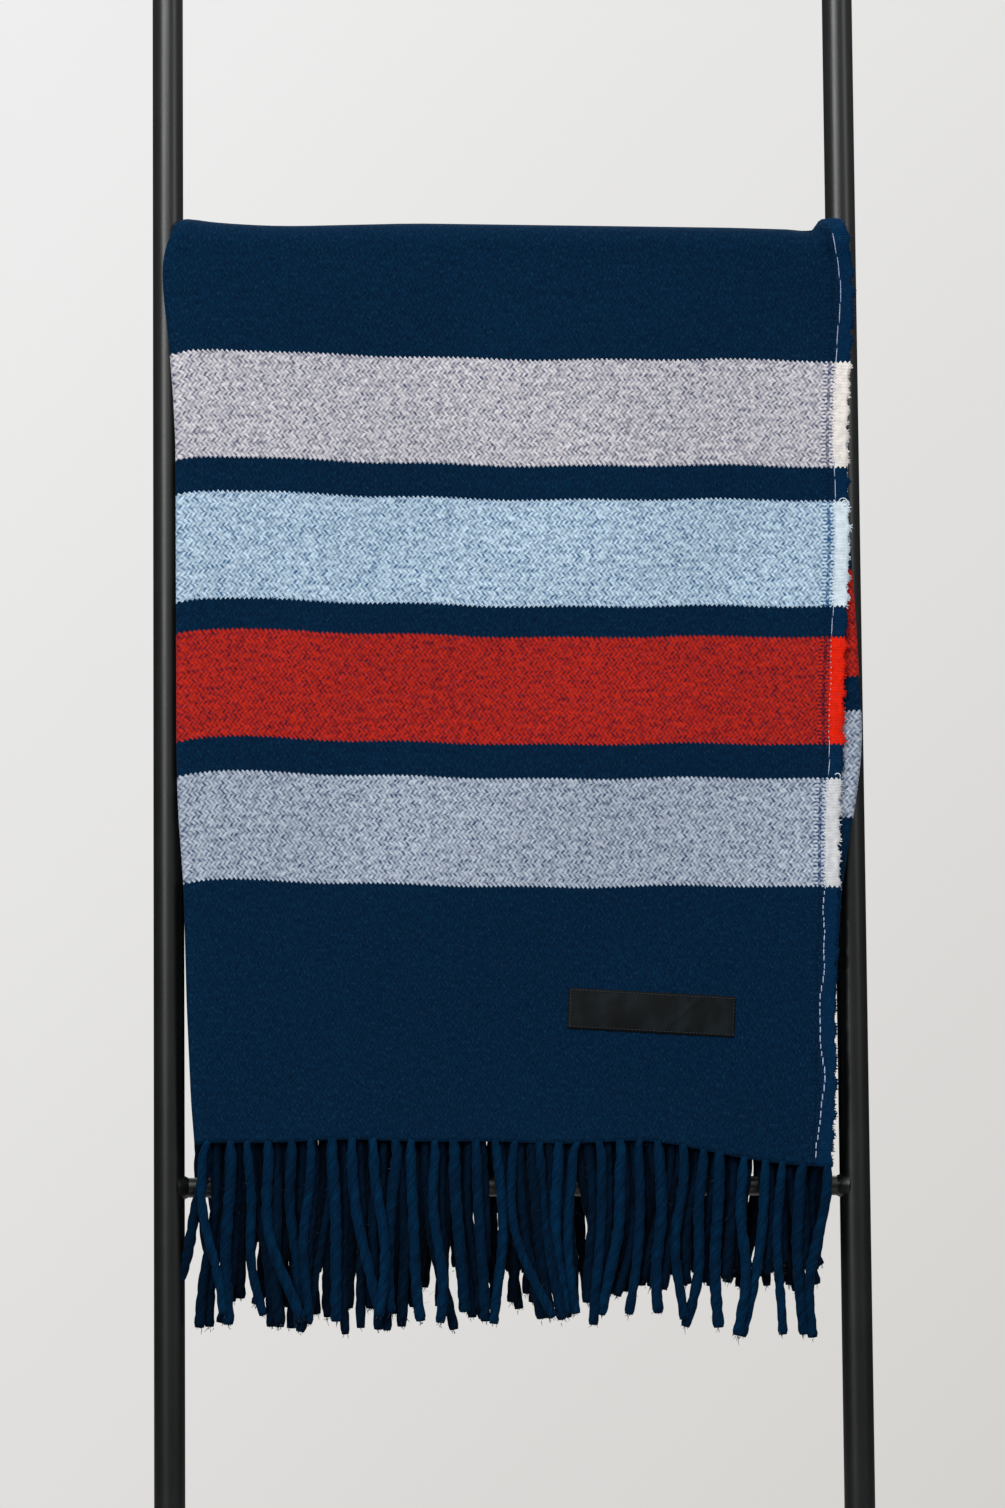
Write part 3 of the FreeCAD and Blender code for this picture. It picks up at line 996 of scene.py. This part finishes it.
def cloth_material():
    """Brushed herringbone twill, banded along the cloth, with a plain bright selvedge."""
    n = Nodes("throw_cloth_weave")
    flat = n.attribute("flat")
    across, along, _ = n.split(flat)
    far = n.minus(CLOTH_LENGTH, along)
    v = n.math("MINIMUM", along, far)
    edge_gap = n.math("MINIMUM", across, n.minus(CLOTH_WIDTH, across))
    saw = n.math("PINGPONG", n.over(across, WEAVE_PITCH), 0.5)
    saw = n.times(n.minus(saw, 0.25), 0.0038)
    jag = n.minus(n.noise(flat, 260.0, 2.0), 0.5)
    jagged = n.plus(n.plus(v, saw), n.times(jag, 0.0012))
    at = n.over(jagged, BAND_SCALE)
    face = n.ramp(at, band_stops(YARN_FACE))
    speck = n.ramp(at, band_stops(YARN_SPECK))
    pure = n.ramp(at, band_stops(YARN_EDGE))

    drift = n.times(n.minus(n.noise(flat, 60.0, 1.0), 0.5), 0.0014)
    pattern = weave(n, n.plus(across, drift), n.plus(along, drift))
    patches = n.times(n.minus(n.noise(flat, 110.0, 3.0, 0.6), 0.5), 1.8)
    light = n.plus(pattern, patches)
    inward = n.minus(edge_gap, SELVEDGE)
    near = n.over(n.math("ABSOLUTE", n.minus(inward, DARK_COLUMN)), 0.0012)
    dark_column = n.step(near, 1.3, 0.7)
    dots = n.sine(along, DOT_PITCH)
    beside = n.times(n.step(inward, 0.0088, 0.0078), n.minus(1.0, dark_column))
    light = n.plus(light, n.times(n.times(dots, beside), 1.3))
    light = n.minus(light, n.times(dark_column, 1.1))
    share = n.step(light, -2.2, 1.55)
    body = n.mix(share, speck, face)

    ribs = n.sine(along, RIB_PITCH)
    teeth = n.times(n.sine(along, 2 * RIB_PITCH), TOOTH)
    band = n.step(n.plus(edge_gap, teeth), SELVEDGE + TOOTH / 2, SELVEDGE - TOOTH / 2)
    worn = n.step(n.noise(flat, 420.0, 3.0, 0.6), 0.56, 0.72)
    soiled = n.mix(n.times(worn, 0.22), pure, speck)
    colour = n.mix(band, body, soiled)
    tone = n.noise(flat, 7.0, 3.0, 0.55)
    tint = n.mix(n.step(tone, 0.32, 0.72), (0.93, 0.93, 0.94, 1.0), (1.06, 1.05, 1.05, 1.0))
    colour = n.mix(1.0, colour, tint, "MULTIPLY")
    uneven = n.step(n.noise(flat, 210.0, 3.0, 0.6), 0.3, 0.7)
    mottle = n.mix(uneven, (0.84, 0.84, 0.85, 1.0), (1.10, 1.09, 1.08, 1.0))
    colour = n.mix(1.0, colour, mottle, "MULTIPLY")
    fuzz = n.noise(flat, 1500.0, 4.0, 0.7)
    nap = n.noise(n.join(n.times(across, 2.2), along), 330.0, 3.0, 0.6)
    lint = n.step(n.plus(n.times(nap, 0.6), n.times(fuzz, 0.4)), 0.50, 0.72)
    colour = n.mix(n.times(lint, 0.30), colour, n.mix(0.5, colour, srgb(70, 118, 160)))

    height = n.plus(n.times(pattern, 0.12), n.times(fuzz, 1.1))
    height = n.plus(height, n.times(nap, 1.2))
    ribbed = n.times(n.times(ribs, 0.45), band)
    height = n.plus(n.times(height, n.minus(1.0, band)), ribbed)
    n.bump(height, 0.6, 0.00045)
    n.set(color=colour, roughness=n.plus(0.86, n.times(fuzz, 0.12)), specular=0.06)
    n.set(sheen=0.07, sheen_roughness=0.30, sheen_tint=(0.20, 0.55, 0.90, 1.0))
    return n.material


def yarn_material():
    """Navy yarn, felted: soft streaks that follow its twist, and a dusting of lighter fibre."""
    n = Nodes("fringe_yarn_twist")
    along, turn, tone = n.split(n.attribute("yarn"))
    wound = n.join(n.times(along, 90.0), n.times(turn, 9.0), tone)
    streaks = n.noise(wound, 1.0, 3.0, 0.6)
    fluff = n.noise(n.position(), 1100.0, 3.0, 0.65)
    mixed = n.plus(n.times(streaks, 0.6), n.times(fluff, 0.4))
    # tone darkens the hidden layers' tassels nearly to black as painted shade, with a random tone
    # for each tassel
    dark = n.mix(tone, srgb(0, 5, 14), srgb(0, 24, 47))
    light = n.mix(tone, srgb(0, 14, 30), srgb(0, 44, 75))
    colour = n.mix(n.step(mixed, 0.38, 0.68), dark, light)
    n.bump(n.plus(streaks, n.times(fluff, 0.8)), 0.6, 0.0006)
    n.set(color=colour, roughness=0.93, specular=0.05)
    n.set(sheen=0.04, sheen_roughness=0.35, sheen_tint=(0.25, 0.55, 0.85, 1.0))
    return n.material


def hair_material():
    """Loose fibre off the tassels, a little lighter than their yarn."""
    n = Nodes("loose_fibre")
    fluff = n.noise(n.position(), 900.0, 2.0)
    colour = n.mix(fluff, srgb(6, 30, 56), srgb(26, 62, 98))
    n.bump(fluff, 0.2, 0.0001)
    n.set(color=colour, roughness=0.9, specular=0.2, sheen=0.2)
    return n.material


def thread_material(name, colour, dark):
    """Sewing thread, with its twist."""
    n = Nodes(name)
    x, y, z = n.split(n.position())
    n.bump(n.sine(n.plus(n.plus(x, y), z), TWIST_PITCH), 0.4, 0.0001)
    spots = n.noise(n.position(), 1400.0, 2.0)
    colour = n.mix(n.step(spots, 0.2, 0.75), dark, colour)
    n.set(color=colour, roughness=0.62, specular=0.35, sheen=0.1)
    return n.material


def satin_material():
    """Black woven satin: fine ribs across, and long soft highlights, partly painted into its colour
    as lighter streaks.
    """
    n = Nodes("label_satin_weave")
    flat = n.attribute("flat")
    across, up, _ = n.split(flat)
    ribs = n.sine(up, LABEL_RIB)
    warp = n.sine(across, LABEL_WARP)
    rough = n.noise(flat, 420.0, 3.0, 0.6)
    height = n.plus(n.times(ribs, 0.5), n.plus(n.times(warp, 0.22), rough))
    n.bump(height, 0.35, 0.00012)
    border = n.step(n.math("ABSOLUTE", up), 0.0122, 0.0128)
    # Lighter streaks painted into the colour: a painted sheen
    painted_sheen_streaks = n.noise(n.join(n.times(across, 2.0), up), 34.0, 2.0, 0.5)
    painted_sheen = n.step(painted_sheen_streaks, 0.38, 0.78)
    base = n.mix(rough, srgb(0, 3, 5), srgb(9, 14, 16))
    base = n.mix(painted_sheen, base, srgb(17, 25, 28))
    colour = n.mix(border, base, srgb(2, 5, 7))
    n.set(color=colour, roughness=n.plus(0.42, n.times(rough, 0.2)), specular=0.12)
    n.set(anisotropic=0.35)
    return n.material


def powder_material():
    """Satin black powder coat: a fine orange peel and a few faint rubs."""
    n = Nodes("powder_coat_black")
    where = n.position()
    peel = n.noise(where, 900.0, 2.0, 0.5)
    cloud = n.noise(where, 26.0, 4.0, 0.6)
    n.bump(peel, 0.22, 0.00018)
    colour = n.mix(n.step(cloud, 0.3, 0.75), srgb(3, 4, 4), srgb(6, 7, 7))
    n.set(color=colour, roughness=n.plus(0.30, n.times(cloud, 0.10)), specular=0.5)
    return n.material


def rubber_material():
    n = Nodes("moulded_rubber")
    where = n.position()
    grain = n.noise(where, 1400.0, 3.0, 0.6)
    dust = n.noise(where, 60.0, 4.0, 0.65)
    n.bump(grain, 0.35, 0.00015)
    colour = n.mix(n.step(dust, 0.4, 0.8), srgb(22, 22, 23), srgb(38, 38, 38))
    n.set(color=colour, roughness=0.78, specular=0.35)
    return n.material


def floor_material():
    n = Nodes("studio_floor")
    grain = n.noise(n.position(), 9.0, 3.0)
    colour = n.mix(grain, srgb(176, 175, 172), srgb(182, 181, 178))
    n.set(color=colour, roughness=0.7, specular=0.25)
    return n.material


# -------------------- stage, light and camera


FLOOR_R = 2.3


def make_floor():
    bpy.ops.mesh.primitive_circle_add(vertices=96, radius=FLOOR_R, fill_type="NGON")
    floor = bpy.context.object
    floor.name = "floor"
    floor.data.materials.append(floor_material())


def area_light(name, place_at, look_at, width, height, power):
    data = bpy.data.lights.new(name, "AREA")
    data.shape = "RECTANGLE"
    data.size, data.size_y = width, height
    data.energy = power
    lamp = bpy.data.objects.new(name, data)
    bpy.context.scene.collection.objects.link(lamp)
    lamp.location = place_at
    lamp.rotation_euler = (Vector(look_at) - Vector(place_at)).to_track_quat("-Z", "Y").to_euler()


def make_world():
    """A pale wall colour all round, which is seen but gives no light, with painted light on it:
    lighter towards the top and the left. And a room that gives light from above."""
    world = bpy.data.worlds.new("pale_room")
    bpy.context.scene.world = world
    world.use_nodes = True
    tree = world.node_tree
    tree.nodes.clear()
    link = tree.links.new

    def node(kind):
        return tree.nodes.new("ShaderNode" + kind)

    def ranged(value, low, high, first, last):
        made = node("MapRange")
        link(value, made.inputs["Value"])
        names = ("From Min", "From Max", "To Min", "To Max")
        for name, number in zip(names, (low, high, first, last)):
            made.inputs[name].default_value = number
        return made.outputs[0]

    direction = node("SeparateXYZ")
    link(node("TexCoord").outputs["Generated"], direction.inputs[0])
    # Painted light on the seen wall: lighter higher up and to the left, darker low down and to the
    # right
    rise = ranged(direction.outputs[2], -0.15, 0.11, 0.0, 0.60)
    side = ranged(direction.outputs[0], 0.02, 0.19, 0.40, 0.0)
    painted_light_share = node("Math")
    link(rise, painted_light_share.inputs[0])
    link(side, painted_light_share.inputs[1])
    wall = node("Mix")
    wall.data_type = "RGBA"
    wall.inputs[6].default_value = srgb(212, 210, 207)
    wall.inputs[7].default_value = srgb(239, 239, 239)
    link(painted_light_share.outputs[0], wall.inputs[0])
    seen = node("Background")
    link(wall.outputs[2], seen.inputs[0])
    lit = node("Background")
    lit.inputs[0].default_value = (0.96, 0.98, 1.0, 1.0)
    link(ranged(direction.outputs[2], 0.13, 0.50, 0.05, 1.10), lit.inputs[1])
    mixer = node("MixShader")
    link(node("LightPath").outputs["Is Camera Ray"], mixer.inputs[0])
    link(lit.outputs[0], mixer.inputs[1])
    link(seen.outputs[0], mixer.inputs[2])
    link(mixer.outputs[0], node("OutputWorld").inputs["Surface"])


SENSOR = 36.0
LENS = 137.63
CAMERA_PLACE = (-0.436, -4.0, 0.988)
CAMERA_PITCH = math.radians(1.16)
CAMERA_YAW = math.radians(5.95)
CAMERA_ROLL = math.radians(0.36)


def make_camera():
    data = bpy.data.cameras.new("camera")
    data.sensor_width = SENSOR
    data.lens = LENS
    data.clip_end = 100
    camera = bpy.data.objects.new("camera", data)
    bpy.context.scene.collection.objects.link(camera)
    ahead = Vector((
        math.sin(CAMERA_YAW) * math.cos(CAMERA_PITCH),
        math.cos(CAMERA_YAW) * math.cos(CAMERA_PITCH),
        -math.sin(CAMERA_PITCH),
    ))
    right = Vector((math.cos(CAMERA_YAW), -math.sin(CAMERA_YAW), 0))
    up = right.cross(ahead)
    rolled_right = right * math.cos(CAMERA_ROLL) + up * math.sin(CAMERA_ROLL)
    rolled_up = up * math.cos(CAMERA_ROLL) - right * math.sin(CAMERA_ROLL)
    turn = Matrix((rolled_right, rolled_up, -ahead)).transposed()
    camera.matrix_world = Matrix.Translation(CAMERA_PLACE) @ turn.to_4x4()
    bpy.context.scene.camera = camera


# -------------------- put together

bpy.context.scene.view_settings.view_transform = "Standard"
make_camera()
make_world()
make_floor()
area_light("key_left", (-2.2, -2.5, 2.35), (0, 0, 1.1), 1.3, 1.3, 45)
area_light("top_soft", (-0.6, -1.2, 2.3), (0, 0.1, 1.25), 1.0, 0.5, 13)
area_light("fill_right", (2.6, -2.2, 2.5), (0, 0, 1.1), 1.2, 1.5, 17)
area_light("back_soft", (0.6, 2.4, 2.4), (0, 0.1, 0.9), 1.6, 1.2, 9)

powder = powder_material()
rubber = rubber_material()
for name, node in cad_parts.items():
    node.data.materials.clear()
    node.data.materials.append(rubber if ("foot" in name or "cap" in name) else powder)

cloth = cloth_material()
yarn = yarn_material()
hair = hair_material()
white_thread = thread_material("selvedge_thread", srgb(200, 206, 228), srgb(122, 132, 166))
black_thread = thread_material("label_thread", srgb(40, 42, 47), srgb(16, 17, 20))

sheet = make_throw(cloth)
front_fringe, front_fluff = make_fringe("front_tassels", True, 11, yarn, hair)
back_fringe, back_fluff = make_fringe("back_tassels", False, 53, yarn, hair)
stitches = make_stitches(white_thread)
fray = make_fray(cloth)
tab = make_label(satin_material())
tab_stitches = make_label_stitches(black_thread)

extras = [front_fringe, front_fluff, back_fringe, back_fluff, stitches, fray, tab, tab_stitches]
for piece in [sheet] + extras:
    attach(piece, "throw")
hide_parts("throw")
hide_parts("front_fringe")
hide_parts("back_fringe")
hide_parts("label")

bpy.context.view_layer.update()
